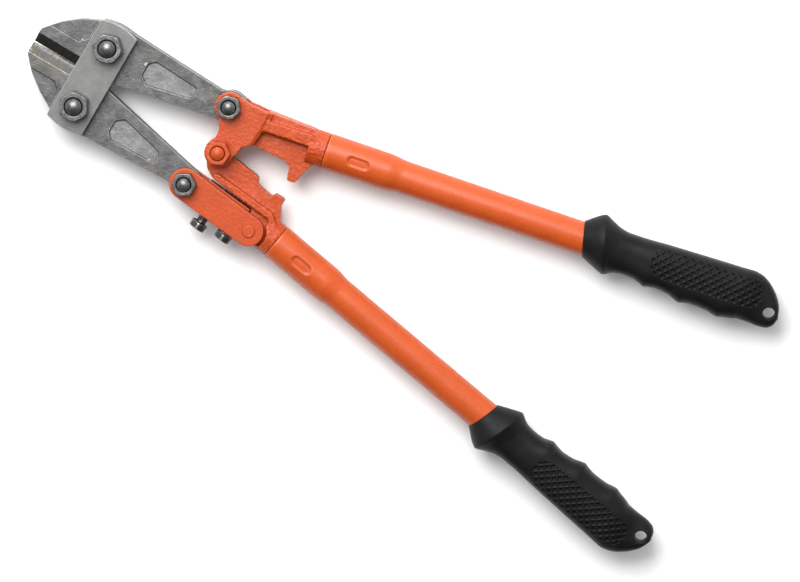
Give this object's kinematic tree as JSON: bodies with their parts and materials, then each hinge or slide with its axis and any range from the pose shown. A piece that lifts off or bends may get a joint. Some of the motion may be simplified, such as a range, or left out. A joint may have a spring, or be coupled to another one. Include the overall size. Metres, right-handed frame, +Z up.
{
  "type": "bolt cutters",
  "caption": "Long-handled hand bolt cutters with forged jaws, straps, toggle castings, adjusting link, steel tube handles and moulded grips.",
  "frame": {"origin": "foot of the centre pivot's axis, on the surface the tool lies on", "axes": "+X from the jaws towards the grips along the cutting line, +Y towards the upper handle, +Z up out of the surface, nut side up"},
  "size_m": [0.4649, 0.1891, 0.0374],
  "materials": {
    "forged_steel": "forged and blasted, ground at the cutting edges",
    "strap_steel": "pressed plate, lightly blasted",
    "plated_steel": "dull zinc plate",
    "orange_paint": "stoved satin paint over a cast surface",
    "black_steel": "black oxide, oiled",
    "black_rubber": "moulded, satin, with a diamond pattern"
  },
  "bodies": {
    "straps": {"front_strap": "strap_steel", "rear_strap": "strap_steel", "upper_jaw_bolt": "plated_steel", "upper_jaw_nut": "plated_steel", "lower_jaw_bolt": "plated_steel", "lower_jaw_nut": "plated_steel"},
    "upper_jaw": {"upper_jaw": "forged_steel"},
    "lower_jaw": {"lower_jaw": "forged_steel"},
    "upper_handle": {"upper_casting": "orange_paint", "upper_tube": "orange_paint", "upper_grip": "black_rubber", "upper_toggle_bolt": "plated_steel", "upper_toggle_nut": "plated_steel", "centre_bolt": "orange_paint", "centre_nut": "orange_paint"},
    "link": {"front_link_plate": "orange_paint", "rear_link_plate": "orange_paint", "link_rivet": "orange_paint", "adjuster_block": "orange_paint", "lower_toggle_bolt": "plated_steel", "lower_toggle_nut": "plated_steel"},
    "lower_handle": {"lower_casting": "orange_paint", "lower_tube": "orange_paint", "lower_grip": "black_rubber"},
    "adjusting_screw": {"adjusting_screw": "black_steel"},
    "lock_screw": {"lock_screw": "black_steel", "lock_washer": "plated_steel"}
  },
  "joints": [
    {"name": "upper_jaw_pivot", "type": "hinge", "parent": "straps", "child": "upper_jaw", "pos_m": [-0.087, 0.0198, 0.0165], "axis": [0, 0, 1], "range_deg": [-5.1, 0.1]},
    {"name": "lower_jaw_pivot", "type": "hinge", "parent": "straps", "child": "lower_jaw", "pos_m": [-0.087, -0.0198, 0.0165], "axis": [0, 0, 1], "range_deg": [-0.1, 5.1]},
    {"name": "handle_opening", "type": "hinge", "parent": "upper_jaw", "child": "upper_handle", "pos_m": [-0.008, 0.0265, 0.0165], "axis": [0, 0, 1], "range_deg": [-0.5, 35]},
    {"name": "lower_toggle", "type": "hinge", "parent": "lower_jaw", "child": "link", "pos_m": [-0.008, -0.0265, 0.0165], "axis": [0, 0, 1], "range_deg": [-35.1, 0.6]},
    {"name": "link_adjust", "type": "hinge", "parent": "link", "child": "lower_handle", "pos_m": [0.03855, -0.03131, 0.0165], "axis": [0, 0, 1], "range_deg": [-0.6, 0.6]},
    {"name": "adjusting_screw_travel", "type": "slide", "parent": "link", "child": "adjusting_screw", "axis": [-0.1028, -0.9947, 0], "range_m": [0, 0.004]},
    {"name": "lock_screw_travel", "type": "slide", "parent": "link", "child": "lock_screw", "axis": [-0.1028, -0.9947, 0], "range_m": [0, 0.004]}
  ],
  "couplings": [
    {"joint": "upper_jaw_pivot", "follows": "handle_opening", "ratio": -0.1438},
    {"joint": "lower_jaw_pivot", "follows": "handle_opening", "ratio": 0.1438},
    {"joint": "lower_toggle", "follows": "handle_opening", "ratio": -1}
  ]
}
